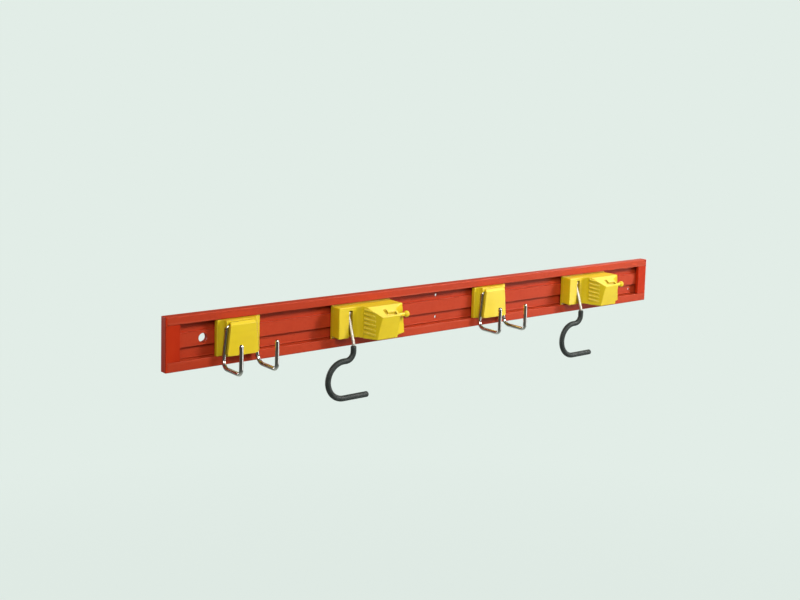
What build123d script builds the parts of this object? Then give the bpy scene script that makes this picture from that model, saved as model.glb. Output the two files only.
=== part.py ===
from build123d import *
import math
import os

# Wall tool holder: a C-section rail with end caps, two double-hook holders and two dock holders.
# Millimetres. +Z is up, the wall is the plane Y = 0 and the front faces -Y.
# X runs along the rail, with the middle of the rail's back face at the origin.

# Rail, an extrusion. Its depth follows from what runs in it, see below.
rail_length = 895.0
rail_height = 70.0
rail_wall = 2.0
web_thickness = 2.5
band_rise = 4.0
band_height = 18.0
band_centre_z = 2.5
top_lip_height = 10.7
bottom_lip_height = 12.5
ridge_from_lip = 1.6
ridge_width = 1.4
ridge_height = 1.0
rail_edge_radius = 1.4
lip_edge_radius = 0.6

# Holes in the rail for wall fixings
wall_hole_diameter = 12.0
wall_hole_from_end = 51.5
screw_hole_diameter = 4.5
screw_hole_from_end = 29.0
screw_holes_left_of_middle = 11.0

# End caps
cap_plate = 2.5
cap_tongue_length = 17.0
cap_leg_length = 12.0
cap_side_gap = 0.2
cap_back_gap = 0.5
cap_leg_gap = 0.15
cap_edge_radius = 0.8

# Sliding fit of a carriage in the rail
lug_thickness = 2.4
lug_front_gap = 0.4
lug_back_gap = 0.7
lug_overlap = 5.5
lug_corner = 1.5
neck_gap = 0.4

# Places of the holders, as shares of the rail's length from its middle
hook_holder_places = (-0.3894, 0.0966)
dock_holder_places = (-0.2035, 0.2977)

# Double-hook holders: carriage and front cover
base_width = 62.5
base_stand_off = 1.5
pedestal_rise = 8.0
pedestal_half_width = 22.5
cove_radius = 6.0
base_edge = 0.8
cover_thickness = 4.5
cover_wall = 2.0
cover_top_half_width = 18.2
cover_bottom_half_width = 22.7
cover_top_gap = 2.9
cover_bottom_gap = 1.3
cover_bevel = 3.0
cover_corner = 3.0
cover_screw_x = 12.0
cover_screw_below_middle = 4.0
cover_boss_diameter = 8.0
cover_screw_bite = 3.2

# Double-hook wire
hook_wire_diameter = 5.2
wire_groove_gap = 0.1
bridge_below_top = 4.6
bridge_half = 20.0
hook_leg_half = 25.8
hook_below_rail = 1.2
hook_reach = 45.0
hook_tip_height = 38.6
bridge_bend = 5.0
leg_bend = 12.0
tip_bend = 7.0

# Dock holders: x is measured from the hook's groove, depths from the rail's front
dock_left = -19.5
dock_right = 79.0
dock_stand_off = 0.5
dock_top_gap = 2.2
dock_bottom_gap = 3.1
box_depth = 15.0
block_depth = 45.0
front_lean = 5.0
block_left = 15.4
block_cove_radius = 9.0
front_left = 31.5
front_right = 62.0
top_slope_from_cove = 3.0
top_slope_drop = 12.2
underside_drop = 3.2
wing_start_back = 11.0
wing_end_back = 21.0
right_flare = 7.0
shell_wall = 2.6
shell_edge_radius = 1.0
shell_boss_diameter = 8.4
shell_screw_bite = 8.3
shell_screw_from_side = 6.0
shell_screw_from_bottom = 8.5
shell_screw_from_top = 8.3

# Ribs on the left side of the dock block
rib_pitch = 6.3
rib_height = 2.0
rib_end_height = 0.4
rib_width = 3.2
rib_below_top = 1.6
rib_above_bottom = 1.6
rib_from_cove = 0.2
rib_before_corner = 10.0
rib_fall = 0.22

# Recess in the top of the dock block
opening_from_left = 8.0
opening_from_front = 2.2
opening_length = 19.0
opening_width = 5.0
opening_arm_width = 6.0
opening_arm_length = 9.8
opening_depth = 3.0
opening_floor = 1.8

# Hook of a dock holder: groove, pivot, leaning wire and coated end
groove_width = 6.0
groove_depth = 10.5
groove_head_gap = 0.7
cheek = 3.0
pivot_depth = 6.0
pivot_below_top = 9.4
pivot_diameter = 4.0
pivot_clearance = 0.05
eye_diameter = 7.2
eye_thickness = 3.4
dock_wire_diameter = 4.0
hook_out = 13.5
kink_above_rail_bottom = 8.5
kink_drop = 10.5
s_radius = 12.0
s_flat = 3.5
loop_radius = 25.5
tail_x = 26.5
sleeve_diameter = 8.0
sleeve_below_kink = 2.5
sleeve_end = 3.0
sleeve_rounding = 2.0

# Spring catch of a dock holder
catch_from_front = 13.0
catch_below_edge = 2.8
ball_diameter = 9.2
ball_out = 3.5
stem_diameter = 5.0
stem_clearance = 0.08
stem_length = 24.0
flange_diameter = 7.6
flange_thickness = 2.0
stop_gap = 0.05
stop_rim = 1.0
tail_diameter = 4.4
tail_past_guide = 5.0
guide_thickness = 3.0
guide_rim = 2.0
coil_room = 9.5
coil_end_gap = 0.12
coil_wire = 0.8
coil_mean_diameter = 6.0
coil_turns = 6.0

# Brake springs and screws
brake_thickness = 0.5
brake_side_gap = 1.5
brake_half_length = 20.0
brake_pad_half = 6.0
brake_foot = 2.0
brake_curl = 1.0
brake_web_gap = 0.3
peg_diameter = 3.0
peg_reach = 0.7
peg_clearance = 0.01
screw_head_diameter = 7.0
screw_head_height = 2.2
screw_head_sink = 0.4
screw_head_gap = 0.2
screw_head_rounding = 0.7
screw_slot_width = 0.9
screw_slot_length = 3.8
screw_slot_depth = 1.2
screw_diameter = 3.6
screw_point = 0.9

# Places in the rail's section
half = rail_height / 2
half_length = rail_length / 2
band_front = web_thickness + band_rise
lug_back = -(band_front + lug_back_gap)
lug_front = lug_back - lug_thickness
lip_back = lug_front - lug_front_gap
rail_front = lip_back - rail_wall
top_lip_edge = half - top_lip_height
bottom_lip_edge = -half + bottom_lip_height
band_top = band_centre_z + band_height / 2
band_bottom = band_centre_z - band_height / 2
ridge_top_z = top_lip_edge - ridge_from_lip
ridge_bottom_z = bottom_lip_edge + ridge_from_lip
lug_top = top_lip_edge + lug_overlap
lug_bottom = bottom_lip_edge - lug_overlap
brake_top = band_bottom - brake_side_gap
brake_bottom = ridge_bottom_z + ridge_width / 2 + brake_side_gap
brake_z = (brake_top + brake_bottom) / 2
screw_seat = lug_back - screw_head_sink - screw_head_height

# Places in a double-hook holder
base_front = rail_front - base_stand_off
pedestal_front = base_front - pedestal_rise
cover_front = pedestal_front - cover_thickness
cover_top = top_lip_edge - cover_top_gap
cover_bottom = bottom_lip_edge + cover_bottom_gap
cover_screw_z = (cover_top + cover_bottom) / 2 - cover_screw_below_middle
hook_wire_y = pedestal_front + hook_wire_diameter / 2
bridge_z = cover_top - bridge_below_top
hook_bottom_z = -half - hook_below_rail
hook_tip_z = hook_bottom_z + hook_tip_height

# Places in a dock holder
dock_back = rail_front - dock_stand_off
box_front = rail_front - box_depth
block_front = rail_front - block_depth
dock_top = top_lip_edge - dock_top_gap
dock_bottom = bottom_lip_edge + dock_bottom_gap
cove_x = block_left - block_cove_radius
cove_y = box_front - block_cove_radius
side_turn = math.atan2(front_left - block_left, cove_y - block_front)
slope_start_y = cove_y - top_slope_from_cove
slope_end_z = dock_top - top_slope_drop
groove_half = groove_width / 2
groove_floor = box_front + groove_depth
pivot_y = box_front + pivot_depth
pivot_z = dock_top - pivot_below_top
hook_plane_y = pivot_y - hook_out
kink_z = -half + kink_above_rail_bottom
s_start_z = kink_z - kink_drop
loop_top_z = s_start_z - s_radius
loop_bottom_z = loop_top_z - 2 * loop_radius
catch_y = block_front + catch_from_front
catch_z = slope_end_z - catch_below_edge
ball_x = dock_right + ball_out
flange_x = ball_x - stem_length
guide_end_x = flange_x - flange_thickness - coil_room
guide_x = guide_end_x - guide_thickness
dock_screws = (
    ((dock_left + shell_wall - groove_half - cheek) / 2, dock_bottom + shell_screw_from_bottom),
    (groove_half + cheek + shell_screw_from_side, dock_bottom + shell_screw_from_bottom),
    (dock_right - shell_screw_from_side, dock_bottom + shell_screw_from_bottom),
    (dock_right - shell_screw_from_side, dock_top - shell_screw_from_top),
)
cover_screws = ((-cover_screw_x, cover_screw_z), (cover_screw_x, cover_screw_z))

# Cutting tools reach this far past what they cut, or right through the whole part
past = 1.0
far = rail_length


def block(x0, x1, y0, y1, z0, z1):
    """A box between two corners."""
    centre = Pos((x0 + x1) / 2, (y0 + y1) / 2, (z0 + z1) / 2)
    return centre * Box(abs(x1 - x0), abs(y1 - y0), abs(z1 - z0))


def rod_x(x0, x1, y, z, diameter):
    """A round bar along X."""
    return Pos((x0 + x1) / 2, y, z) * Rot(0, 90, 0) * Cylinder(diameter / 2, abs(x1 - x0))


def rod_y(x, y0, y1, z, diameter):
    """A round bar along Y."""
    return Pos(x, (y0 + y1) / 2, z) * Rot(90, 0, 0) * Cylinder(diameter / 2, abs(y1 - y0))


def stand(face, z0, z1):
    """A solid on an outline drawn in X and Y, between two heights."""
    return extrude(Pos(0, 0, z0) * face, z1 - z0, dir=(0, 0, 1))


def along(path, diameter):
    """A round bar along a path."""
    start = Plane(origin=path @ 0, z_dir=path % 0)
    return sweep(start * Circle(diameter / 2), path=path)


def make_rail():
    """Flat back, lips, raised band with a chamber, and two fine ridges; then the holes."""
    inner = half - rail_wall
    web = -web_thickness
    crest = web - ridge_height
    rw = ridge_width / 2
    outline = [
        (0, -half),
        (rail_front, -half),
        (rail_front, bottom_lip_edge),
        (lip_back, bottom_lip_edge),
        (lip_back, -inner),
        (web, -inner),
        (web, ridge_bottom_z - rw),
        (crest, ridge_bottom_z - rw / 2),
        (crest, ridge_bottom_z + rw / 2),
        (web, ridge_bottom_z + rw),
        (web, band_bottom),
        (-band_front, band_bottom),
        (-band_front, band_top),
        (web, band_top),
        (web, ridge_top_z - rw),
        (crest, ridge_top_z - rw / 2),
        (crest, ridge_top_z + rw / 2),
        (web, ridge_top_z + rw),
        (web, inner),
        (lip_back, inner),
        (lip_back, top_lip_edge),
        (rail_front, top_lip_edge),
        (rail_front, half),
        (0, half),
    ]
    section = Plane.YZ * Polygon(*outline, align=None)
    rail = extrude(Pos(-half_length, 0, 0) * section, rail_length, dir=(1, 0, 0))
    chamber_front = -band_front + rail_wall
    rail -= block(-far, far, chamber_front, web, band_bottom + rail_wall, band_top - rail_wall)
    front_runs = [e for e in rail.edges().filter_by(Axis.X) if abs(e.center().Y - rail_front) < 0.01]
    corners = [e for e in front_runs if abs(abs(e.center().Z) - half) < 0.01]
    rail = fillet(corners, rail_edge_radius)
    front_runs = [e for e in rail.edges().filter_by(Axis.X) if abs(e.center().Y - rail_front) < 0.01]
    lips = [e for e in front_runs if bottom_lip_edge - 0.01 < e.center().Z < top_lip_edge + 0.01]
    rail = fillet(lips, lip_edge_radius)
    wall_hole_x = -half_length + wall_hole_from_end
    rail -= rod_y(wall_hole_x, -band_front - past, past, band_centre_z, wall_hole_diameter)
    upper = (band_top + top_lip_edge) / 2
    lower = (band_bottom + bottom_lip_edge) / 2
    middle = -screw_holes_left_of_middle
    for x, z in ((middle, upper), (middle, lower), (half_length - screw_hole_from_end, lower)):
        rail -= rod_y(x, web - past, past, z, screw_hole_diameter)
    return rail


def make_cap(side):
    """One end cap: end plate, tongue between the lips and a leg behind each lip."""
    end = half_length
    plate = block(end, end + cap_plate, rail_front, 0, -half, half)
    plate = fillet(
        [e for e in plate.edges().filter_by(Axis.X) if e.center().Y < rail_front + 0.01],
        rail_edge_radius,
    )
    outside = plate.faces().sort_by(Axis.X)[-1]
    plate = fillet([e for e in outside.edges() if e.center().Y < -0.01], cap_edge_radius)
    cap = plate + block(
        end - cap_tongue_length,
        end,
        rail_front,
        -band_front - cap_back_gap,
        bottom_lip_edge + cap_side_gap,
        top_lip_edge - cap_side_gap,
    )
    inner = half - rail_wall - cap_leg_gap
    leg_back = -web_thickness - ridge_height - cap_leg_gap
    for z0, z1 in ((top_lip_edge - past, inner), (-inner, bottom_lip_edge + past)):
        cap += block(end - cap_leg_length, end, lip_back + cap_leg_gap, leg_back, z0, z1)
    return cap if side > 0 else mirror(cap, about=Plane.YZ)


def lug_plate(x0, x1):
    """The runner of a carriage: a plate that reaches behind both lips."""
    plate = block(x0, x1, lug_front, lug_back, lug_bottom, lug_top)
    return fillet(plate.edges().filter_by(Axis.Y), lug_corner)


def brake_peg(x):
    """The peg on a carriage's back that holds its brake spring."""
    return rod_y(x, lug_front, lug_back + brake_thickness + peg_reach, brake_z, peg_diameter)


def make_brake(x):
    """A strip of spring steel on the peg, its two arms bowed towards the rail's web."""
    t = brake_thickness
    tip = -web_thickness - brake_web_gap - t
    h = brake_half_length
    f = brake_foot
    front = [(brake_pad_half, lug_back), (h - 2 * f, tip), (h - f, tip), (h, tip - brake_curl)]
    back = [(a, b + t) for a, b in reversed(front)]
    right = front + back
    left = [(-a, b) for a, b in reversed(back)] + [(-a, b) for a, b in reversed(front)]
    outline = left[len(back):] + right + left[: len(back)]
    strip = stand(Polygon(*outline, align=None), brake_bottom, brake_top)
    strip -= rod_y(0, lug_back - past, lug_back + t + past, brake_z, peg_diameter + 2 * peg_clearance)
    return Pos(x, 0, 0) * strip


def make_screws(x, places, tip):
    """Pan-head screws put in from behind, with crossed slots and a chamfered point."""
    screws = []
    top = screw_seat + screw_head_height
    slot_half = screw_slot_length / 2
    slot_side = screw_slot_width / 2
    slot_floor = top - screw_slot_depth
    for px, z in places:
        head = rod_y(px, screw_seat, top, z, screw_head_diameter)
        head = fillet([e for e in head.edges() if e.center().Y > top - 0.01], screw_head_rounding)
        head -= block(px - slot_half, px + slot_half, slot_floor, top + past, z - slot_side, z + slot_side)
        head -= block(px - slot_side, px + slot_side, slot_floor, top + past, z - slot_half, z + slot_half)
        shank = rod_y(px, tip, screw_seat, z, screw_diameter)
        shank = chamfer([e for e in shank.edges() if e.center().Y < tip + 0.01], screw_point)
        screws.append(Pos(x, 0, 0) * (head + shank))
    return Compound(children=screws)


def screw_seats(body, places):
    """Counterbores and through holes for the screws in a carriage."""
    for x, z in places:
        body -= rod_y(x, screw_seat, far, z, screw_head_diameter + 2 * screw_head_gap)
        body -= rod_y(x, -far, screw_seat + past, z, screw_diameter)
    return body


def hook_wire_points():
    """The corners of the double-hook wire, from the left tip to the right one."""
    right = [
        (bridge_half, hook_wire_y, bridge_z),
        (hook_leg_half, hook_wire_y, hook_bottom_z),
        (hook_leg_half, hook_wire_y - hook_reach, hook_bottom_z),
        (hook_leg_half, hook_wire_y - hook_reach, hook_tip_z),
    ]
    return [(-a, b, c) for a, b, c in reversed(right)] + right


def make_hook_wire(x):
    """One wire: a bridge behind the cover, two legs and two upturned hooks."""
    bends = (tip_bend, leg_bend, bridge_bend, bridge_bend, leg_bend, tip_bend)
    return Pos(x, 0, 0) * along(FilletPolyline(*hook_wire_points(), radius=bends), hook_wire_diameter)


def make_hook_carriage(x):
    """Lugs, neck, wings with a cove each, and the pedestal with the wire's groove."""
    hw = base_width / 2
    p = pedestal_half_width
    r = cove_radius
    k = r * math.sqrt(0.5)
    sides = []
    for s in (-1, 1):
        sides += [
            ThreePointArc(
                (s * p, base_front - r),
                (s * (p + r - k), base_front - r + k),
                (s * (p + r), base_front),
            ),
            Polyline(
                (s * (p + r), base_front),
                (s * (hw - base_edge), base_front),
                (s * hw, base_front + base_edge),
                (s * hw, lug_back),
            ),
            Line((s * p, base_front - r), (s * p, pedestal_front)),
        ]
    ends = [Line((-p, pedestal_front), (p, pedestal_front)), Line((-hw, lug_back), (hw, lug_back))]
    face = make_face([e for curve in sides + ends for e in curve.edges()])
    body = stand(face, bottom_lip_edge + neck_gap, top_lip_edge - neck_gap)
    body += lug_plate(-hw, hw)
    flat = [(a, c) for a, b, c in hook_wire_points()[2:6]]
    groove = trace(FilletPolyline(*flat, radius=bridge_bend), hook_wire_diameter + 2 * wire_groove_gap)
    floor = hook_wire_y + hook_wire_diameter / 2
    body -= extrude(Pos(0, floor, 0) * (Plane.XZ * groove), pedestal_rise + past, dir=(0, -1, 0))
    body = screw_seats(body, cover_screws)
    body += brake_peg(0)
    return Pos(x, 0, 0) * body


def make_hook_cover(x):
    """The trapezium front plate: bevelled at the top, hollow behind, with two screw bosses."""
    b = cover_bottom_half_width
    t = cover_top_half_width
    flat = Polygon((-b, cover_bottom), (b, cover_bottom), (t, cover_top), (-t, cover_top), align=None)
    face = Plane.XZ * fillet(flat.vertices(), cover_corner)
    body = extrude(Pos(0, pedestal_front, 0) * face, cover_thickness, dir=(0, -1, 0))
    bevel = Plane(origin=(0, cover_front, cover_top - cover_bevel), x_dir=(1, 0, 0), z_dir=(0, -1, 1))
    body = split(body, bisect_by=bevel, keep=Keep.BOTTOM)
    w = cover_wall
    hollow = Polygon(
        (-b + 2 * w, cover_bottom + w),
        (b - 2 * w, cover_bottom + w),
        (t - 2 * w, cover_top - cover_bevel - w),
        (-t + 2 * w, cover_top - cover_bevel - w),
        align=None,
    )
    body -= extrude(Pos(0, pedestal_front, 0) * (Plane.XZ * hollow), cover_thickness - w, dir=(0, -1, 0))
    for px, z in cover_screws:
        body += rod_y(px, pedestal_front, cover_front + w / 2, z, cover_boss_diameter)
        body -= rod_y(px, pedestal_front + past, pedestal_front - cover_screw_bite, z, screw_diameter)
    return Pos(x, 0, 0) * body


def dock_face(inset):
    """The dock holder's plan, moved inwards by a wall thickness for its hollow."""
    i = inset
    r = block_cove_radius + i
    side_start = side_turn - math.acos((i + block_cove_radius * math.cos(side_turn)) / r)
    half_way = (math.pi / 2 + side_start) / 2
    wing_run = dock_right + right_flare - front_right
    wing_turn = math.atan2(wing_run, wing_end_back - wing_start_back)
    wing_start = block_front + wing_start_back
    reach = wing_run + past
    wing_y = wing_start + reach / math.tan(wing_turn) + i / math.sin(wing_turn)
    cove_end = (cove_x + r * math.cos(side_start), cove_y + r * math.sin(side_start))
    cove_middle = (cove_x + r * math.cos(half_way), cove_y + r * math.sin(half_way))
    cove = ThreePointArc((cove_x, cove_y + r), cove_middle, cove_end)
    before = Polyline((dock_left + i, dock_back), (dock_left + i, box_front + i), (cove_x, cove_y + r))
    after = Polyline(
        cove_end,
        (front_left + i * math.tan(math.pi / 4 - side_turn / 2), block_front + i),
        (front_right - i, block_front + i),
        (front_right - i, wing_start + i * math.tan(wing_turn / 2)),
        (front_right + reach, wing_y),
        (front_right + reach, dock_back),
        (dock_left + i, dock_back),
    )
    return make_face([e for curve in (before, cove, after) for e in curve.edges()])


def top_slope():
    """The plane in which the block's top falls to its front edge."""
    return Plane(
        origin=(0, slope_start_y, dock_top),
        x_dir=(1, 0, 0),
        z_dir=(0, -top_slope_drop, slope_start_y - block_front),
    )


def dock_solid(inset):
    """Box and block, cut by the sloping top and underside, the leaning front and the flaring right side."""
    i = inset
    body = stand(dock_face(i), dock_bottom - underside_drop, dock_top - i)
    height = dock_top - dock_bottom
    front = Plane(
        origin=(0, block_front, slope_end_z),
        x_dir=(1, 0, 0),
        z_dir=(0, dock_bottom - slope_end_z, -front_lean),
    )
    under = Plane(
        origin=(0, dock_back, dock_bottom),
        x_dir=(1, 0, 0),
        z_dir=(0, underside_drop, block_front - dock_back),
    )
    right = Plane(origin=(dock_right, 0, dock_top), x_dir=(0, 1, 0), z_dir=(height, 0, right_flare))
    for cut in (top_slope(), under, front, right):
        body = split(body, bisect_by=cut.offset(-i), keep=Keep.BOTTOM)
    return body


def dock_ribs():
    """Raised bars on the block's left side that fall and fade to the front, cut off where its top slopes."""
    side = Vector(front_left - block_left, block_front - cove_y, 0)
    out = Vector(-math.cos(side_turn), -math.sin(side_turn), 0)
    length = side.length - rib_from_cove - rib_before_corner
    line = side.normalized() - Vector(0, 0, rib_fall)
    first = Vector(block_left, cove_y, dock_top - rib_below_top - rib_width / 2)
    first += side.normalized() * rib_from_cove
    fade = Plane(
        origin=first + out * rib_height,
        x_dir=(0, 0, 1),
        z_dir=out * length + side.normalized() * (rib_height - rib_end_height),
    )
    room = dock_top - rib_below_top - rib_width - rib_above_bottom - dock_bottom - length * rib_fall
    ribs = []
    for n in range(int(room / rib_pitch) + 1):
        bar = Polygon(
            (-shell_wall / 2, -rib_width / 2),
            (0, -rib_width / 2),
            (rib_height, -rib_width / 4),
            (rib_height, rib_width / 4),
            (0, rib_width / 2),
            (-shell_wall / 2, rib_width / 2),
            align=None,
        )
        start = Plane(origin=first - Vector(0, 0, n * rib_pitch), x_dir=out, z_dir=line)
        rib = extrude(start * bar, length * line.length, dir=line)
        for cut in (top_slope(), fade):
            rib = split(rib, bisect_by=cut, keep=Keep.BOTTOM)
        ribs.append(rib)
    return ribs


def make_dock_shell(x):
    """The visible moulding: hollow behind, with groove, ribs, catch guide and screw bosses."""
    outer = dock_solid(0)
    cavity = dock_solid(shell_wall)
    smooth = ((cove_x, box_front), (block_left, cove_y), (front_right, block_front + wing_start_back))
    rounded = []
    for e in outer.edges():
        c = e.center()
        if c.Y < dock_back - 0.1 and not any(abs(c.X - a) + abs(c.Y - b) < 0.1 for a, b in smooth):
            rounded.append(e)
    body = fillet(rounded, shell_edge_radius)
    shell = body - cavity
    core = block(-groove_half - cheek, groove_half + cheek, box_front, groove_floor + cheek, -far, dock_top)
    shell += core & body
    left = front_left + opening_from_left
    front = block_front + opening_from_front
    for grown, depth in ((opening_floor, opening_depth + opening_floor), (0, opening_depth)):
        g = grown
        tool = block(left - g, left + opening_length + g, front - g, front + opening_width + g, -far, far)
        tool += block(
            left - g, left + opening_arm_width + g, front - g, front + opening_arm_length + g, -far, far
        )
        tool = split(tool, bisect_by=top_slope().offset(-depth), keep=Keep.TOP)
        shell = shell + (tool & body) if grown else shell - tool
    guide_front = catch_y - tail_diameter / 2 - guide_rim
    shell += block(guide_x, guide_end_x, guide_front, box_front, -far, far) & cavity
    stop_diameter = flange_diameter + 2 * stop_rim
    shell += rod_x(flange_x + stop_gap, dock_right, catch_y, catch_z, stop_diameter) & body
    for px, z in dock_screws:
        shell += rod_y(px, dock_back, -far, z, shell_boss_diameter) & body
    groove_head = pivot_z + eye_diameter / 2 + groove_head_gap
    shell -= block(-groove_half, groove_half, groove_floor, -far, -far, groove_head)
    pin_reach = groove_half + cheek
    shell -= rod_x(-pin_reach, pin_reach, pivot_y, pivot_z, pivot_diameter)
    for rib in dock_ribs():
        shell += rib
    shell -= rod_x(flange_x, far, catch_y, catch_z, stem_diameter + 2 * stem_clearance)
    shell -= rod_x(guide_x - past, guide_end_x + past, catch_y, catch_z, tail_diameter + 2 * stem_clearance)
    for px, z in dock_screws:
        shell -= rod_y(px, 0, dock_back - shell_screw_bite, z, screw_diameter)
    return Pos(x, 0, 0) * shell


def make_dock_carriage(x):
    """The plate behind the shell: lugs behind the lips, neck between them and a brake peg."""
    body = block(dock_left, dock_right, lug_back, dock_back, dock_bottom, dock_top)
    body += lug_plate(dock_left, dock_right)
    body = screw_seats(body, dock_screws)
    body += brake_peg((dock_left + dock_right) / 2)
    return Pos(x, 0, 0) * body


def make_dock_pin(x):
    """The pin in the groove's cheeks that the hook swings on."""
    reach = groove_half + cheek
    return rod_x(x - reach, x + reach, pivot_y, pivot_z, pivot_diameter)


def dock_hook_curves(start_z, end_x):
    """The S-shaped end in its plane: drop, small bend, short flat, loop and tail."""
    y = hook_plane_y
    k = s_radius * math.sqrt(0.5)
    loop_x = -s_radius - s_flat
    drop = Line((0, y, start_z), (0, y, s_start_z))
    bend = ThreePointArc(
        (0, y, s_start_z), (-s_radius + k, y, s_start_z - k), (-s_radius, y, loop_top_z)
    )
    flat = Line((-s_radius, y, loop_top_z), (loop_x, y, loop_top_z))
    loop = ThreePointArc(
        (loop_x, y, loop_top_z),
        (loop_x - loop_radius, y, loop_top_z - loop_radius),
        (loop_x, y, loop_bottom_z),
    )
    tail = Line((loop_x, y, loop_bottom_z), (end_x, y, loop_bottom_z))
    return Wire([drop.edge(), bend.edge(), flat.edge(), loop.edge(), tail.edge()])


def make_dock_wire(x):
    """Bare wire with a flattened eye on the pivot pin; it runs on inside the coating."""
    d = dock_wire_diameter
    pivot = Vector(0, pivot_y, pivot_z)
    kink = Vector(0, hook_plane_y, kink_z)
    start = pivot + (kink - pivot).normalized() * (eye_diameter / 2 - past)
    wire = along(Line(start, kink), d)
    wire += Pos(kink) * Sphere(d / 2)
    wire += along(dock_hook_curves(kink_z, tail_x - sleeve_end), d)
    wire += rod_x(-eye_thickness / 2, eye_thickness / 2, pivot_y, pivot_z, eye_diameter)
    wire -= rod_x(-d, d, pivot_y, pivot_z, pivot_diameter + 2 * pivot_clearance)
    return Pos(x, 0, 0) * wire


def make_dock_sleeve(x):
    """The dark coating on the S-shaped end, closed at the tail."""
    path = dock_hook_curves(kink_z - sleeve_below_kink, tail_x - sleeve_end)
    ring = Circle(sleeve_diameter / 2) - Circle(dock_wire_diameter / 2)
    body = sweep(Plane(origin=path @ 0, z_dir=path % 0) * ring, path=path)
    end = rod_x(tail_x - sleeve_end, tail_x, hook_plane_y, loop_bottom_z, sleeve_diameter)
    body += fillet([e for e in end.edges() if e.center().X > tail_x - 0.01], sleeve_rounding)
    return Pos(x, 0, 0) * body


def make_plunger(x):
    """Ball end, stem, the flange that the spring pushes on, and the tail in its guide."""
    body = Pos(ball_x, catch_y, catch_z) * Sphere(ball_diameter / 2)
    body += rod_x(flange_x, ball_x, catch_y, catch_z, stem_diameter)
    body += rod_x(flange_x - flange_thickness, flange_x, catch_y, catch_z, flange_diameter)
    body += rod_x(guide_x - tail_past_guide, flange_x, catch_y, catch_z, tail_diameter)
    return Pos(x, 0, 0) * body


def coil_path():
    """The line through the middle of the catch spring's wire, along Z from the origin."""
    height = coil_room - coil_wire - 2 * coil_end_gap
    return Helix(height / coil_turns, height, coil_mean_diameter / 2)


def coil_gap():
    """Least gap between the spring's turns, measured on points of its path."""
    path = coil_path()
    per_turn = 36
    steps = round(coil_turns * per_turn)
    points = [path @ (n / steps) for n in range(steps + 1)]
    apart = per_turn // 2
    pairs = [(a, b) for n, a in enumerate(points) for b in points[n + apart:]]
    return min((b - a).length for a, b in pairs) - coil_wire


def make_coil(x):
    """Compression spring between the guide and the plunger's flange."""
    start = guide_end_x + coil_wire / 2 + coil_end_gap
    return Pos(x + start, catch_y, catch_z) * Rot(0, 90, 0) * along(coil_path(), coil_wire)


nodes = {"rail": make_rail(), "end_cap_left": make_cap(-1), "end_cap_right": make_cap(1)}
for letter, place in zip("ab", hook_holder_places):
    at = place * rail_length
    nodes["hook_carriage_" + letter] = make_hook_carriage(at)
    nodes["hook_cover_" + letter] = make_hook_cover(at)
    nodes["hook_wire_" + letter] = make_hook_wire(at)
    nodes["hook_brake_" + letter] = make_brake(at)
    nodes["hook_screws_" + letter] = make_screws(at, cover_screws, pedestal_front - cover_screw_bite)
for letter, place in zip("ab", dock_holder_places):
    at = place * rail_length
    nodes["dock_carriage_" + letter] = make_dock_carriage(at)
    nodes["dock_shell_" + letter] = make_dock_shell(at)
    nodes["dock_pin_" + letter] = make_dock_pin(at)
    nodes["dock_wire_" + letter] = make_dock_wire(at)
    nodes["dock_sleeve_" + letter] = make_dock_sleeve(at)
    nodes["dock_plunger_" + letter] = make_plunger(at)
    nodes["dock_coil_" + letter] = make_coil(at)
    nodes["dock_brake_" + letter] = make_brake(at + (dock_left + dock_right) / 2)
    nodes["dock_screws_" + letter] = make_screws(at, dock_screws, dock_back - shell_screw_bite)

print("least gap between the turns of the catch spring:", round(coil_gap(), 3), "mm")
os.makedirs("parts", exist_ok=True)
for name, shape in nodes.items():
    export_step(shape, "parts/" + name + ".step")
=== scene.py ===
import math

import bpy
from mathutils import Matrix, Vector


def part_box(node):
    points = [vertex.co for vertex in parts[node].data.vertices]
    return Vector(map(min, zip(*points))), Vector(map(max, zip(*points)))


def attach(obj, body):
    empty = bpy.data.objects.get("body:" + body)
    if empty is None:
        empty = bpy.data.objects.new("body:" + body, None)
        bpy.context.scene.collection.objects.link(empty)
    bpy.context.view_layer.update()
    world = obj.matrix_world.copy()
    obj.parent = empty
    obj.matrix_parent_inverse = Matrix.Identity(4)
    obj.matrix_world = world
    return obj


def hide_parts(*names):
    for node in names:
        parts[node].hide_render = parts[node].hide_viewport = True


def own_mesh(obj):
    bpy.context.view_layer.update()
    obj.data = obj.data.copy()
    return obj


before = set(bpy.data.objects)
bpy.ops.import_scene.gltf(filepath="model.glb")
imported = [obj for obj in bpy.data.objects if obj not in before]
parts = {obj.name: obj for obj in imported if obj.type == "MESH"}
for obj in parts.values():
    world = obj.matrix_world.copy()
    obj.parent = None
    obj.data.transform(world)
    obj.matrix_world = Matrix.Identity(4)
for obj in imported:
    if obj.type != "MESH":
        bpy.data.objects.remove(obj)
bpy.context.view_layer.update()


# The rail: one length of extruded aluminium with a lip along each long edge, a raised band along its
# middle and a thin ridge near each lip. It is sawn to length, drilled for the wall screws and powder-coated
# red in one coat, which is satin, faintly pebbled, and rubbed where the holders slide along the lips.
RAIL_RED = (0.47, 0.040, 0.010, 1)
RAIL_RED_PALE = (0.52, 0.052, 0.014, 1)
# RAIL_RED_DEEP is both the darker mottle of the coat and the colour of the painted shade in its corners.
RAIL_RED_DEEP = (0.34, 0.020, 0.006, 1)
RAIL_RUBBED = (0.60, 0.13, 0.07, 1)
UPPER_TRACK, LOWER_TRACK = 0.0255, -0.0237
TRACK_EDGE, TRACK_CORE = 0.0022, 0.0006
NODE_SAMPLES = 4
EDGE_BEGINS, EDGE_FULL = 0.985, 0.86


def node(tree, kind, inputs=(), **settings):
    """Adds a node, sets its own settings, and gives each named or numbered input a value or a link."""
    made = tree.nodes.new(kind)
    for name, value in settings.items():
        setattr(made, name, value)
    for name, value in dict(inputs).items():
        if isinstance(value, bpy.types.NodeSocket):
            tree.links.new(value, made.inputs[name])
        else:
            made.inputs[name].default_value = value
    return made


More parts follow.
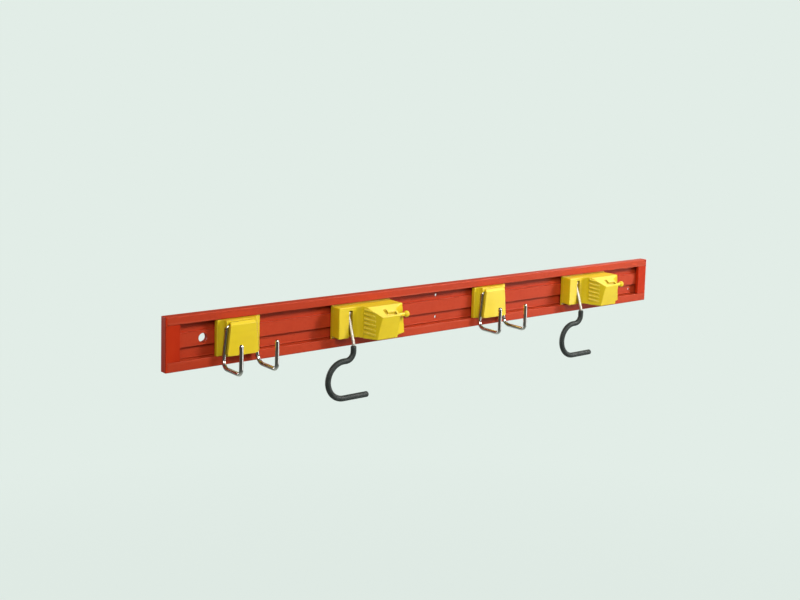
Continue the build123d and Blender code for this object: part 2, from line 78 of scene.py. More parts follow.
def sums(tree, operation, a, b=0.0):
    """One sum on two numbers, either of which may be a link."""
    return node(tree, "ShaderNodeMath", {0: a, 1: b}, operation=operation).outputs[0]


def between(tree, value, low, high, to_low=0.0, to_high=1.0):
    """A number carried over from one range to another, and held at its ends."""
    inputs = {"Value": value, "From Min": low, "From Max": high, "To Min": to_low, "To Max": to_high}
    return node(tree, "ShaderNodeMapRange", inputs).outputs[0]


def blended(tree, share, a, b):
    """Colour a, with a share of colour b over it."""
    return node(tree, "ShaderNodeMix", {0: share, 6: a, 7: b}, data_type="RGBA").outputs[2]


def grain(tree, where, size, stretch=(1, 1, 1), detail=2.0, roughness=0.5):
    """Soft noise from 0 to 1 with patches of about that size in metres, drawn out by the stretch."""
    scale = tuple(1 / (size * s) for s in stretch)
    placed = node(tree, "ShaderNodeVectorMath", {0: where, 1: scale}, operation="MULTIPLY").outputs[0]
    inputs = {"Vector": placed, "Scale": 1.0, "Detail": detail, "Roughness": roughness}
    return node(tree, "ShaderNodeTexNoise", inputs).outputs["Fac"]


def rounded(tree, radius):
    """The face's direction, turned at its edges as if they were rounded by that radius."""
    return node(tree, "ShaderNodeBevel", {"Radius": radius}, samples=NODE_SAMPLES).outputs[0]


def edges(tree, turned):
    """1 on sharp edges and 0 on open faces, read from how rounding turns the face."""
    straight = node(tree, "ShaderNodeNewGeometry").outputs["Normal"]
    same = node(tree, "ShaderNodeVectorMath", {0: turned, 1: straight}, operation="DOT_PRODUCT")
    return between(tree, same.outputs["Value"], EDGE_BEGINS, EDGE_FULL)


def corners(tree, reach, open_from=0.75, deep_from=0.15):
    """1 deep in a corner or slot, where light is lost, and 0 in the open."""
    seen = node(tree, "ShaderNodeAmbientOcclusion", {"Distance": reach}, samples=NODE_SAMPLES)
    return between(tree, seen.outputs["AO"], open_from, deep_from)


def bumped(tree, height, depth, strength, over=None):
    """A bump of that depth in metres, laid over another one where there is one."""
    inputs = {"Height": height, "Distance": depth, "Strength": strength}
    if over is not None:
        inputs["Normal"] = over
    return node(tree, "ShaderNodeBump", inputs).outputs[0]


def new_finish(name):
    """An empty node material, its tree, and the place on the piece that its patterns follow."""
    made = bpy.data.materials.new(name)
    made.use_nodes = True
    made.node_tree.nodes.clear()
    where = node(made.node_tree, "ShaderNodeTexCoord").outputs["Object"]
    return made, made.node_tree, where


def surface(tree, inputs):
    """The shader of a finish, wired to its output."""
    shader = node(tree, "ShaderNodeBsdfPrincipled", inputs)
    node(tree, "ShaderNodeOutputMaterial", {"Surface": shader.outputs[0]})


def rail_coat():
    """Satin red powder coat with die lines showing through, rubbed tracks beside the lips, and painted shade
    in its corners.
    """
    made, tree, where = new_finish("rail_powder_coat")
    tone = grain(tree, where, 0.16, stretch=(1.6, 1, 1), detail=3)
    mottle = grain(tree, where, 0.0045, detail=3, roughness=0.6)
    peel = grain(tree, where, 0.0014, detail=1)
    die_lines = grain(tree, where, 0.0016, stretch=(220, 1, 1), detail=2)
    colour = blended(tree, between(tree, tone, 0.3, 0.7), RAIL_RED, RAIL_RED_PALE)
    colour = blended(tree, between(tree, mottle, 0.45, 0.85, 0, 0.25), colour, RAIL_RED_DEEP)
    # Painted shade: the coat is darkened in corners, under the lips and beside the holders, where the AO mask
    # finds light lost.
    colour = blended(tree, sums(tree, "MULTIPLY", corners(tree, 0.006), 0.55), colour, RAIL_RED_DEEP)
    height = node(tree, "ShaderNodeSeparateXYZ", {0: where}).outputs[2]
    above = sums(tree, "ABSOLUTE", sums(tree, "SUBTRACT", height, UPPER_TRACK))
    below = sums(tree, "ABSOLUTE", sums(tree, "SUBTRACT", height, LOWER_TRACK))
    track = between(tree, sums(tree, "MINIMUM", above, below), TRACK_EDGE, TRACK_CORE)
    streaks = between(tree, grain(tree, where, 0.0011, stretch=(160, 1, 1), detail=3), 0.50, 0.72)
    rubbed = sums(tree, "MULTIPLY", sums(tree, "MULTIPLY", track, streaks), 0.5)
    turned = rounded(tree, 0.0007)
    chipped = sums(tree, "MULTIPLY", edges(tree, turned), between(tree, mottle, 0.46, 0.66, 0.05, 0.35))
    colour = blended(tree, sums(tree, "MAXIMUM", rubbed, chipped), colour, RAIL_RUBBED)
    gloss = between(tree, mottle, 0.3, 0.8, 0.44, 0.58)
    gloss = sums(tree, "SUBTRACT", gloss, sums(tree, "MULTIPLY", rubbed, 0.15))
    relief = bumped(tree, die_lines, 0.00006, 0.35, turned)
    relief = bumped(tree, peel, 0.00005, 0.35, relief)
    surface(tree, {"Base Color": colour, "Roughness": gloss, "Specular IOR Level": 0.2, "Normal": relief})
    return made


def dressed(finish, *names):
    """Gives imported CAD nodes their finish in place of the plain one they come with."""
    for name in names:
        parts[name].data.materials.clear()
        parts[name].data.materials.append(finish)


dressed(rail_coat(), "rail")


# The end caps: two flat plugs pushed into the ends of the rail to close the channel. They are moulded in
# red nylon, a little deeper and more orange than the coat, with a fine spark-eroded grain on the face.
CAP_RED = (0.49, 0.026, 0.004, 1)
CAP_RED_PALE = (0.54, 0.034, 0.006, 1)
# The colour of the painted shade in the cap's corners and hollows.
CAP_PAINTED_SHADE = (0.30, 0.012, 0.004, 1)
CAP_SCUFFED = (0.60, 0.11, 0.05, 1)


def cap_plastic():
    """Deep red moulded plastic with a grained face, scuffed corners, and painted shade in its hollows."""
    made, tree, where = new_finish("cap_plastic")
    tone = grain(tree, where, 0.03, detail=2)
    spark = grain(tree, where, 0.0006, detail=2, roughness=0.6)
    colour = blended(tree, between(tree, tone, 0.3, 0.7), CAP_RED, CAP_RED_PALE)
    # Painted shade: the plastic is darkened in corners and hollows, where the AO mask finds light lost.
    colour = blended(tree, sums(tree, "MULTIPLY", corners(tree, 0.005), 0.6), colour, CAP_PAINTED_SHADE)
    scuffs = grain(tree, where, 0.003, detail=3)
    turned = rounded(tree, 0.0006)
    worn = sums(tree, "MULTIPLY", edges(tree, turned), between(tree, scuffs, 0.45, 0.65, 0.05, 0.40))
    colour = blended(tree, worn, colour, CAP_SCUFFED)
    gloss = between(tree, scuffs, 0.3, 0.7, 0.38, 0.52)
    relief = bumped(tree, spark, 0.00004, 0.5, turned)
    surface(tree, {"Base Color": colour, "Roughness": gloss, "Specular IOR Level": 0.1, "Normal": relief})
    return made


dressed(cap_plastic(), "end_cap_left", "end_cap_right")


# The double-hook holders: a carriage that runs behind the rail's lips and a bevelled cover screwed on from
# behind. Both are injection-moulded in yellow nylon: smooth and satin, with faint flow lines and edges
# polished by handling. Painted into the colour are a pale highlight along the edges and painted shade, a
# deeper, browner yellow, in corners and slots.
YELLOW = (0.78, 0.570, 0.006, 1)
YELLOW_PALE = (0.83, 0.630, 0.012, 1)
YELLOW_DEEP = (0.44, 0.260, 0.002, 1)
# The pale colour of the painted highlight along the edges.
YELLOW_EDGE_HIGHLIGHT = (0.93, 0.80, 0.18, 1)


def yellow_plastic():
    """Satin yellow moulded plastic with flow lines, polished edges under a painted highlight, and painted
    shade in corners.
    """
    made, tree, where = new_finish("yellow_plastic")
    tone = grain(tree, where, 0.035, detail=3)
    flow = grain(tree, where, 0.006, stretch=(5, 1.5, 1), detail=2)
    spark = grain(tree, where, 0.0007, detail=2, roughness=0.6)
    colour = blended(tree, between(tree, tone, 0.3, 0.7), YELLOW, YELLOW_PALE)
    colour = blended(tree, between(tree, flow, 0.5, 0.85, 0, 0.10), colour, YELLOW_DEEP)
    # Painted shade: the yellow is darkened towards a browner yellow in corners, slots, rib gaps and coves,
    # where the AO mask finds light lost.
    colour = blended(tree, sums(tree, "MULTIPLY", corners(tree, 0.010, 0.88, 0.35), 0.9), colour, YELLOW_DEEP)
    handled = grain(tree, where, 0.004, detail=3)
    turned = rounded(tree, 0.0010)
    # Painted highlight: edges are paled towards the highlight colour and broken up by the handling noise; the
    # lower roughness on them is their real polish.
    worn = sums(tree, "MULTIPLY", edges(tree, turned), between(tree, handled, 0.35, 0.65, 0.25, 0.75))
    colour = blended(tree, worn, colour, YELLOW_EDGE_HIGHLIGHT)
    gloss = between(tree, handled, 0.3, 0.7, 0.32, 0.44)
    gloss = sums(tree, "SUBTRACT", gloss, sums(tree, "MULTIPLY", worn, 0.1))
    relief = bumped(tree, flow, 0.00006, 0.25, turned)
    relief = bumped(tree, spark, 0.00003, 0.35, relief)
    surface(tree, {"Base Color": colour, "Roughness": gloss, "Specular IOR Level": 0.5, "Normal": relief})
    return made


yellow = yellow_plastic()
dressed(yellow, "hook_carriage_a", "hook_carriage_b", "hook_cover_a", "hook_cover_b")


# The double hooks: one 5 mm steel wire each, cut, tip-rounded, bent into two upturned prongs and zinc-plated.
# The bridge lies in a groove across the top of the carriage, where the cover clamps it, and the legs run
# down both sides of the cover and forward under the rail.
ZINC = (0.50, 0.49, 0.46, 1)
ZINC_BRIGHT = (0.72, 0.71, 0.67, 1)
ZINC_DULL = (0.26, 0.25, 0.23, 1)
HOOK_WIRE_RADIUS = 0.0026
LUMPS_PER_METRE = 70.0
WELD_DISTANCE = 0.00002
MM = 1000
# In millimetres: half widths from the middle, depths from the wall, heights, and bend radii.
BRIDGE_HALF, PRONG_HALF = 20, 25.8
LEG_DEPTH, PRONG_DEPTH = -18.9, -63.9
BRIDGE_HEIGHT, FOOT_HEIGHT, TIP_HEIGHT = 16.8, -36.2, 2.4
BRIDGE_BEND, FOOT_BEND, PRONG_BEND = 5, 12, 7


def zinc_plate():
    """Bright zinc on drawn wire: fine lengthwise draw lines and a few dull patches."""
    made, tree, where = new_finish("zinc_plate")
    skin = node(tree, "ShaderNodeAttribute", attribute_name="skin").outputs["Vector"]
    draw_lines = grain(tree, skin, 0.0007, stretch=(1, 1, 120), detail=2)
    patches = grain(tree, where, 0.007, detail=3)
    colour = blended(tree, between(tree, draw_lines, 0.3, 0.7), ZINC, ZINC_BRIGHT)
    colour = blended(tree, between(tree, patches, 0.50, 0.85, 0, 0.35), colour, ZINC_DULL)
    gloss = between(tree, patches, 0.3, 0.75, 0.14, 0.26)
    relief = bumped(tree, draw_lines, 0.00002, 0.4)
    surface(tree, {"Base Color": colour, "Metallic": 1.0, "Roughness": gloss, "Normal": relief})
    return made


def rounded_end(tree, distance, reach, neck):
    """How wide a round bar is at a distance from its end: from the neck to full width over the reach."""
    inputs = {0: distance, 1: reach}
    share = node(tree, "ShaderNodeMath", inputs, operation="DIVIDE", use_clamp=True).outputs[0]
    left = sums(tree, "SUBTRACT", 1.0, share)
    dome = sums(tree, "SQRT", sums(tree, "SUBTRACT", 1.0, sums(tree, "MULTIPLY", left, left)))
    return sums(tree, "ADD", neck, sums(tree, "MULTIPLY", sums(tree, "SUBTRACT", 1.0, neck), dome))


def bent_bar_tree():
    """Nodes that bend a path at its corners, by each point's radius, and clothe it as a round bar."""
    tree = bpy.data.node_groups.new("bent bar", "GeometryNodeTree")
    for name, kind in (
        ("Path", "NodeSocketGeometry"),
        ("Bar Radius", "NodeSocketFloat"),
        ("Bend Steps", "NodeSocketInt"),
        ("Ring Spacing", "NodeSocketFloat"),
        ("Sides", "NodeSocketInt"),
        ("Start Reach", "NodeSocketFloat"),
        ("Start Neck", "NodeSocketFloat"),
        ("End Reach", "NodeSocketFloat"),
        ("Unevenness", "NodeSocketFloat"),
        ("Finish", "NodeSocketMaterial"),
    ):
        tree.interface.new_socket(name, in_out="INPUT", socket_type=kind)
    tree.interface.new_socket("Bar", in_out="OUTPUT", socket_type="NodeSocketGeometry")
    given = node(tree, "NodeGroupInput").outputs
    bend = node(tree, "GeometryNodeInputRadius").outputs[0]
    inputs = {"Curve": given["Path"], "Count": given["Bend Steps"], "Radius": bend, "Limit Radius": True}
    bent = node(tree, "GeometryNodeFilletCurve", inputs, mode="POLY").outputs[0]
    inputs = {"Curve": bent, "Length": given["Ring Spacing"]}
    even = node(tree, "GeometryNodeResampleCurve", inputs, mode="LENGTH").outputs[0]
    plain = node(tree, "GeometryNodeSetCurveRadius", {"Curve": even, "Radius": 1.0}).outputs[0]
    run = node(tree, "GeometryNodeSplineParameter").outputs["Length"]
    whole = node(tree, "GeometryNodeSplineLength").outputs["Length"]
    lengthwise = node(tree, "GeometryNodeCaptureAttribute", domain="POINT")
    lengthwise.capture_items.new("FLOAT", "Run")
    tree.links.new(plain, lengthwise.inputs["Geometry"])
    tree.links.new(run, lengthwise.inputs["Run"])
    inputs = {"Resolution": given["Sides"], "Radius": given["Bar Radius"]}
    ring = node(tree, "GeometryNodeCurvePrimitiveCircle", inputs).outputs["Curve"]
    around = node(tree, "GeometryNodeCaptureAttribute", domain="POINT")
    around.capture_items.new("VECTOR", "Ring")
    tree.links.new(ring, around.inputs["Geometry"])
    tree.links.new(node(tree, "GeometryNodeInputPosition").outputs[0], around.inputs["Ring"])
    start = rounded_end(tree, run, given["Start Reach"], given["Start Neck"])
    end = rounded_end(tree, sums(tree, "SUBTRACT", whole, run), given["End Reach"], 0.0)
    place = node(tree, "GeometryNodeInputPosition").outputs[0]
    inputs = {"Vector": place, "Scale": LUMPS_PER_METRE, "Detail": 2.0}
    lumps = node(tree, "ShaderNodeTexNoise", inputs).outputs["Fac"]
    uneven = sums(tree, "MULTIPLY", sums(tree, "SUBTRACT", lumps, 0.5), given["Unevenness"])
    width = sums(tree, "MULTIPLY", sums(tree, "MULTIPLY", start, end), sums(tree, "ADD", 1.0, uneven))
    inputs = {
        "Curve": lengthwise.outputs["Geometry"],
        "Profile Curve": around.outputs["Geometry"],
        "Scale": width,
        "Fill Caps": True,
    }
    tube = node(tree, "GeometryNodeCurveToMesh", inputs).outputs[0]
    on_ring = node(tree, "ShaderNodeSeparateXYZ", {0: around.outputs["Ring"]}).outputs
    skin = {"X": on_ring[0], "Y": on_ring[1], "Z": lengthwise.outputs["Run"]}
    skin = node(tree, "ShaderNodeCombineXYZ", skin).outputs[0]
    inputs = {"Geometry": tube, "Name": "skin"}
    named = node(tree, "GeometryNodeStoreNamedAttribute", inputs, data_type="FLOAT_VECTOR", domain="POINT")
    tree.links.new(skin, named.inputs["Value"])
    inputs = {"Geometry": named.outputs[0], "Distance": WELD_DISTANCE}
    closed = node(tree, "GeometryNodeMergeByDistance", inputs).outputs[0]
    smooth = node(tree, "GeometryNodeSetShadeSmooth", {"Geometry": closed}).outputs[0]
    real = node(tree, "GeometryNodeRealizeInstances", {"Geometry": smooth}).outputs[0]
    done = node(tree, "GeometryNodeSetMaterial", {"Geometry": real, "Material": given["Finish"]}).outputs[0]
    node(tree, "NodeGroupOutput", {"Bar": done})
    return tree


bent_bar = bent_bar_tree()


def plain_mesh(name, maker, tree, sizes):
    """Runs a node tree on an object with these inputs, and keeps the result as a plain mesh piece."""
    modifier = maker.modifiers.new(tree.name, "NODES")
    modifier.node_group = tree
    for socket in tree.interface.items_tree:
        if socket.name in sizes:
            modifier[socket.identifier] = sizes[socket.name]
    bpy.context.scene.collection.objects.link(maker)
    bpy.context.view_layer.update()
    mesh = bpy.data.meshes.new_from_object(maker.evaluated_get(bpy.context.evaluated_depsgraph_get()))
    bpy.data.objects.remove(maker)
    mesh.name = name
    piece = bpy.data.objects.new(name, mesh)
    bpy.context.scene.collection.objects.link(piece)
    return piece


def bent_piece(name, path, sizes):
    """A round bar along corner points (x, y, z, bend radius) in millimetres."""
    line = bpy.data.curves.new(name + "_path", "CURVE")
    line.dimensions = "3D"
    spline = line.splines.new("POLY")
    spline.points.add(len(path) - 1)
    for point, (x, y, z, bend) in zip(spline.points, path):
        point.co = (x / MM, y / MM, z / MM, 1)
        point.radius = bend / MM
    return plain_mesh(name, bpy.data.objects.new(name + "_path", line), bent_bar, sizes)


zinc = zinc_plate()
half_hook = [
    (BRIDGE_HALF, LEG_DEPTH, BRIDGE_HEIGHT, BRIDGE_BEND),
    (PRONG_HALF, LEG_DEPTH, FOOT_HEIGHT, FOOT_BEND),
    (PRONG_HALF, PRONG_DEPTH, FOOT_HEIGHT, PRONG_BEND),
    (PRONG_HALF, PRONG_DEPTH, TIP_HEIGHT, 0),
]
for letter in "ab":
    low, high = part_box(f"hook_wire_{letter}")
    middle = (low.x + high.x) / 2 * MM
    left_half = [(middle - x, y, z, bend) for x, y, z, bend in reversed(half_hook)]
    right_half = [(middle + x, y, z, bend) for x, y, z, bend in half_hook]
    sizes = {
        "Bar Radius": HOOK_WIRE_RADIUS,
        "Bend Steps": 10,
        "Ring Spacing": 0.0008,
        "Sides": 20,
        "Start Reach": HOOK_WIRE_RADIUS,
        "Start Neck": 0.0,
        "End Reach": HOOK_WIRE_RADIUS,
        "Unevenness": 0.0,
        "Finish": zinc,
    }
    wire = bent_piece(f"double_hook_{letter}", left_half + right_half, sizes)
    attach(wire, f"hook_holder_{letter}")
    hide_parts(f"hook_wire_{letter}")


# The dock holders: a deep moulded shell over a flat carriage, with a groove for the hook on its left half
# and a tool dock on its right half, which has a ribbed left side and a shallow recess in its sloping top.
# Both are of the same yellow nylon, and four screws from behind hold them together.
dressed(yellow, "dock_shell_a", "dock_shell_b", "dock_carriage_a", "dock_carriage_b")


# The hanging hooks: a wire of dulled zinc plate on a pin in the groove, bent into an S open to the right.
# Its lower end is dipped in dark vinyl, which is thicker than the wire, soft to the hand, a little uneven,
# thinned to a lip where the dip began and rounded at the tail.
DULL_ZINC = (0.80, 0.77, 0.69, 1)
DULL_ZINC_GREY = (0.58, 0.56, 0.51, 1)
VINYL = (0.022, 0.029, 0.027, 1)
VINYL_PALE = (0.036, 0.045, 0.043, 1)
VINYL_DUSTY = (0.10, 0.11, 0.10, 1)
DIP_RADIUS = 0.0040
# In millimetres: depth from the wall, heights, distances from the groove, and bend radii.
DIP_DEPTH = -34.5
NECK_HEIGHT, LOOP_BOTTOM = -49, -100
LOOP_LEFT, TAIL_REACH = -41, 26.5
NECK_BEND, LOOP_BEND = 12, 25.5


def dull_zinc():
    """Thin zinc that has dulled: cream-grey and broad in its shine, with greyer patches."""
    made, tree, where = new_finish("dull_zinc")
    patches = grain(tree, where, 0.005, stretch=(1, 1, 3), detail=3)
    crystals = grain(tree, where, 0.0006, detail=2)
    colour = blended(tree, between(tree, patches, 0.45, 0.80, 0, 0.5), DULL_ZINC, DULL_ZINC_GREY)
    gloss = between(tree, crystals, 0.3, 0.7, 0.42, 0.54)
    relief = bumped(tree, crystals, 0.00001, 0.3)
    surface(tree, {"Base Color": colour, "Metallic": 0.85, "Roughness": gloss, "Normal": relief})
    return made


def dip_vinyl():
    """Dark dipped vinyl: satin, with slow sags round the bar and a film of pale dust."""
    made, tree, where = new_finish("dip_vinyl")
    skin = node(tree, "ShaderNodeAttribute", attribute_name="skin").outputs["Vector"]
    sags = grain(tree, skin, 0.006, stretch=(1, 1, 2), detail=2)
    dust = grain(tree, where, 0.0022, detail=4, roughness=0.65)
    colour = blended(tree, between(tree, sags, 0.3, 0.7), VINYL, VINYL_PALE)
    colour = blended(tree, between(tree, dust, 0.52, 0.80, 0, 0.08), colour, VINYL_DUSTY)
    gloss = between(tree, dust, 0.35, 0.75, 0.50, 0.60)
    relief = bumped(tree, sags, 0.00020, 0.4)
    relief = bumped(tree, dust, 0.00001, 0.25, relief)
    surface(tree, {"Base Color": colour, "Roughness": gloss, "Specular IOR Level": 0.35, "Normal": relief})
    return made


vinyl = dip_vinyl()
for letter in "ab":
    low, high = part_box(f"dock_pin_{letter}")
    groove = (low.x + high.x) / 2 * MM
    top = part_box(f"dock_sleeve_{letter}")[1].z * MM
    path = [
        (groove, DIP_DEPTH, top, 0),
        (groove, DIP_DEPTH, NECK_HEIGHT, NECK_BEND),
        (groove + LOOP_LEFT, DIP_DEPTH, NECK_HEIGHT, LOOP_BEND),
        (groove + LOOP_LEFT, DIP_DEPTH, LOOP_BOTTOM, LOOP_BEND),
        (groove + TAIL_REACH, DIP_DEPTH, LOOP_BOTTOM, 0),
    ]
    sizes = {
        "Bar Radius": DIP_RADIUS,
        "Bend Steps": 24,
        "Ring Spacing": 0.0010,
        "Sides": 24,
        "Start Reach": 0.0028,
        "Start Neck": 0.53,
        "End Reach": 0.0030,
        "Unevenness": 0.03,
        "Finish": vinyl,
    }
    dip = bent_piece(f"dipped_hook_{letter}", path, sizes)
    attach(dip, f"dock_hook_{letter}")
    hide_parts(f"dock_sleeve_{letter}")
dressed(dull_zinc(), "dock_wire_a", "dock_wire_b")


# The catches: a yellow ball on a stem that slides in the right side of each dock, pushed out by a small
# coil spring between a web of the shell and the stem's flange. The spring is of hard-drawn wire, closed in
# behind the shell.
SPRING_STEEL = (0.36, 0.35, 0.33, 1)
SPRING_STEEL_DARK = (0.20, 0.19, 0.18, 1)
SPRING_TURNS = 6.0
SPRING_RADIUS = 0.003
SPRING_WIRE_RADIUS = 0.0004


def bare_steel():
    """Oiled steel of springs, pins and screws: grey, with fine brush lines and darker oil spots."""
    made, tree, where = new_finish("bare_steel")
    brushed = grain(tree, where, 0.0005, stretch=(12, 1, 1), detail=2)
    oil = grain(tree, where, 0.004, detail=3)
    colour = blended(tree, between(tree, oil, 0.45, 0.75), SPRING_STEEL, SPRING_STEEL_DARK)
    gloss = between(tree, brushed, 0.3, 0.7, 0.28, 0.42)
    relief = bumped(tree, brushed, 0.00002, 0.4)
    surface(tree, {"Base Color": colour, "Metallic": 1.0, "Roughness": gloss, "Normal": relief})
    return made


def catch_spring_tree():
    """Nodes that wind a wire round the X axis, from one place on."""
    tree = bpy.data.node_groups.new("catch spring", "GeometryNodeTree")
    for name, kind in (
        ("Turns", "NodeSocketFloat"),
        ("Coil Radius", "NodeSocketFloat"),
        ("Length", "NodeSocketFloat"),
        ("Wire Radius", "NodeSocketFloat"),
        ("Place", "NodeSocketVector"),
        ("Finish", "NodeSocketMaterial"),
    ):
        tree.interface.new_socket(name, in_out="INPUT", socket_type=kind)
    tree.interface.new_socket("Spring", in_out="OUTPUT", socket_type="NodeSocketGeometry")
    given = node(tree, "NodeGroupInput").outputs
    inputs = {
        "Resolution": 28,
        "Rotations": given["Turns"],
        "Start Radius": given["Coil Radius"],
        "End Radius": given["Coil Radius"],
        "Height": given["Length"],
    }
    coil = node(tree, "GeometryNodeCurveSpiral", inputs).outputs[0]
    inputs = {"Resolution": 10, "Radius": given["Wire Radius"]}
    ring = node(tree, "GeometryNodeCurvePrimitiveCircle", inputs).outputs["Curve"]
    inputs = {"Curve": coil, "Profile Curve": ring, "Fill Caps": True}
    tube = node(tree, "GeometryNodeCurveToMesh", inputs).outputs[0]
    inputs = {"Geometry": tube, "Translation": given["Place"], "Rotation": (0, math.pi / 2, 0)}
    laid = node(tree, "GeometryNodeTransform", inputs).outputs[0]
    smooth = node(tree, "GeometryNodeSetShadeSmooth", {"Geometry": laid}).outputs[0]
    real = node(tree, "GeometryNodeRealizeInstances", {"Geometry": smooth}).outputs[0]
    done = node(tree, "GeometryNodeSetMaterial", {"Geometry": real, "Material": given["Finish"]}).outputs[0]
    node(tree, "NodeGroupOutput", {"Spring": done})
    return tree


steel = bare_steel()
catch_spring = catch_spring_tree()
dressed(yellow, "dock_plunger_a", "dock_plunger_b")
for letter in "ab":
    low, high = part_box(f"dock_coil_{letter}")
    middle = (low + high) / 2
    sizes = {
        "Turns": SPRING_TURNS,
        "Coil Radius": SPRING_RADIUS,
        "Length": high.x - low.x - 2 * SPRING_WIRE_RADIUS,
        "Wire Radius": SPRING_WIRE_RADIUS,
        "Place": (low.x + SPRING_WIRE_RADIUS, middle.y, middle.z),
        "Finish": steel,
    }
    holder = bpy.data.objects.new("spring_maker", bpy.data.meshes.new("spring_maker"))
    spring = plain_mesh(f"catch_spring_{letter}", holder, catch_spring, sizes)
    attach(spring, f"dock_holder_{letter}")
    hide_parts(f"dock_coil_{letter}")
    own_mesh(spring)


# The fixings: the hinge pins of the hanging hooks, the screws that hold covers and shells from behind, and
# the leaf springs that press on the rail so that a holder stays where it is put. All are of plain steel.
dressed(steel, "dock_pin_a", "dock_pin_b", "dock_brake_a", "dock_brake_b", "hook_brake_a", "hook_brake_b")
dressed(steel, "dock_screws_a", "dock_screws_b", "hook_screws_a", "hook_screws_b")


# The studio: the rail hangs at working height above a plain pale floor. Soft lamps with grids stand in front,
# at the right and at the left, with broad panels low at the right and behind it. Another lamp hangs above,
# one lights the back, and the surround is pale. None of it is the object.
PALE = (0.761, 0.847, 0.799, 1)
FLOOR_TONE = (0.74, 0.83, 0.78, 1)
FLOOR_BELOW = 1.5
FLOOR_REACH = 30
SHADOW_FADES_FROM, SHADOW_FADES_TO = 0.1, 2.5
SHADOW_EVENED = 0.90
AMBIENT = (1.0, 0.95, 0.88, 1)
AMBIENT_STRENGTH = 0.08
WARM = (1.0, 0.98, 0.95)
WARMER = (1.0, 0.97, 0.93)
NEUTRAL = (1.0, 0.99, 0.97)


def pale_to_the_eye(tree, lit, shown):
    """Shows the pale surround to the camera, and the lit one to everything else."""
    seen = node(tree, "ShaderNodeLightPath").outputs["Is Camera Ray"]
    return node(tree, "ShaderNodeMixShader", {0: seen, 1: lit, 2: shown}).outputs[0]


def floor_finish():
    """Pale matt floor: an even pale tone to the eye, with the object's own shadow under it."""
    made, tree, where = new_finish("studio_floor")
    tone = grain(tree, where, 0.8, detail=2)
    colour = blended(tree, between(tree, tone, 0.3, 0.7), FLOOR_TONE, PALE)
    lit = node(tree, "ShaderNodeBsdfDiffuse", {"Color": colour}).outputs[0]
    even = node(tree, "ShaderNodeEmission", {"Color": PALE, "Strength": 1.0}).outputs[0]
    away = node(tree, "ShaderNodeVectorMath", {0: where}, operation="LENGTH").outputs["Value"]
    near, far = FLOOR_BELOW + SHADOW_FADES_FROM, FLOOR_BELOW + SHADOW_FADES_TO
    share = between(tree, away, near, far, SHADOW_EVENED, 1.0)
    shown = node(tree, "ShaderNodeMixShader", {0: share, 1: lit, 2: even}).outputs[0]
    node(tree, "ShaderNodeOutputMaterial", {"Surface": pale_to_the_eye(tree, lit, shown)})
    return made


plane = bpy.data.meshes.new("studio_floor")
outline = [(FLOOR_REACH * x, FLOOR_REACH * y, 0) for x, y in ((-1, -1), (1, -1), (1, 1), (-1, 1))]
plane.from_pydata(outline, [], [(0, 1, 2, 3)])
plane.transform(Matrix.Translation((0, 0, -FLOOR_BELOW)))
plane.materials.append(floor_finish())
floor = bpy.data.objects.new("studio_floor", plane)
bpy.context.scene.collection.objects.link(floor)

world = bpy.data.worlds.new("studio")
world.use_nodes = True
world.node_tree.nodes.clear()
ambient = {"Color": AMBIENT, "Strength": AMBIENT_STRENGTH}
ambient = node(world.node_tree, "ShaderNodeBackground", ambient).outputs[0]
pale = node(world.node_tree, "ShaderNodeBackground", {"Color": PALE, "Strength": 1.0}).outputs[0]
node(world.node_tree, "ShaderNodeOutputWorld", {"Surface": pale_to_the_eye(world.node_tree, ambient, pale)})
bpy.context.scene.world = world


def soft_lamp(name, place, aim, size, spread, watts, colour):
    """A soft box at one place, turned to shine on another, whose beam spreads by so many degrees."""
    lamp = bpy.data.lights.new(name, "AREA")
    lamp.shape = "RECTANGLE"
    lamp.size, lamp.size_y = size
    lamp.spread = math.radians(spread)
    lamp.energy = watts
    lamp.color = colour
    made = bpy.data.objects.new(name, lamp)
    made.location = place
    made.rotation_euler = (Vector(aim) - Vector(place)).to_track_quat("-Z", "Y").to_euler()
    bpy.context.scene.collection.objects.link(made)


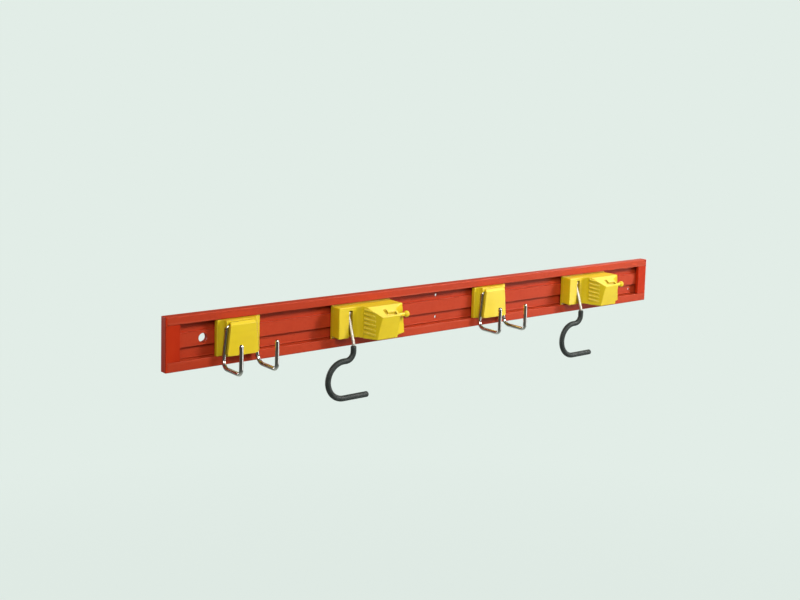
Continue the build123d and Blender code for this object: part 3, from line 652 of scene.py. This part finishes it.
soft_lamp("key_lamp", (3.00, -2.50, 2.25), (-0.10, 0, 0), (0.8, 0.8), spread=40, watts=8, colour=WARM)
soft_lamp("fill_lamp", (-1.40, -2.40, 2.00), (0.90, 0, 0), (1.6, 1.6), spread=60, watts=14, colour=WARMER)
soft_lamp("side_panel", (2.00, -1.80, -0.35), (0.1, 0, 0), (1.1, 1.2), spread=180, watts=15, colour=NEUTRAL)
soft_lamp("top_lamp", (1.28, 0.14, 1.33), (0, 0, 0), (1.4, 1.0), spread=180, watts=12.5, colour=NEUTRAL)
soft_lamp("back_panel", (1.60, 0.75, -0.10), (0.1, 0, 0), (1.0, 1.0), spread=180, watts=5, colour=NEUTRAL)
soft_lamp("rear_lamp", (-0.90, 2.40, 0.25), (0, 0, 0), (1.2, 1.2), spread=180, watts=36, colour=WARM)


# The camera stands in front of the left end and above the rail, almost level, with its lens shifted down to
# frame the rail: the photograph's upright edges hardly lean towards each other.
CAMERA_PLACE = (-1.08018, -1.25074, 0.33624)
CAMERA_YAW, CAMERA_PITCH, CAMERA_ROLL = 38.610, 6.265, 1.589
LENS, SENSOR_WIDTH, LENS_SHIFT = 51.328, 36, -0.125

yaw, pitch, roll = (math.radians(angle) for angle in (CAMERA_YAW, CAMERA_PITCH, CAMERA_ROLL))
ahead = Vector((math.sin(yaw) * math.cos(pitch), math.cos(yaw) * math.cos(pitch), -math.sin(pitch)))
level = Vector((math.cos(yaw), -math.sin(yaw), 0))
upright = level.cross(ahead)
right = math.cos(roll) * level + math.sin(roll) * upright
up = math.cos(roll) * upright - math.sin(roll) * level
eye = bpy.data.cameras.new("camera")
eye.sensor_fit = "HORIZONTAL"
eye.sensor_width = SENSOR_WIDTH
eye.lens = LENS
eye.shift_y = LENS_SHIFT
camera = bpy.data.objects.new("camera", eye)
turn = Matrix((right, up, -ahead)).transposed().to_4x4()
camera.matrix_world = Matrix.Translation(CAMERA_PLACE) @ turn
bpy.context.scene.collection.objects.link(camera)
bpy.context.scene.camera = camera
bpy.context.scene.view_settings.view_transform = "Standard"
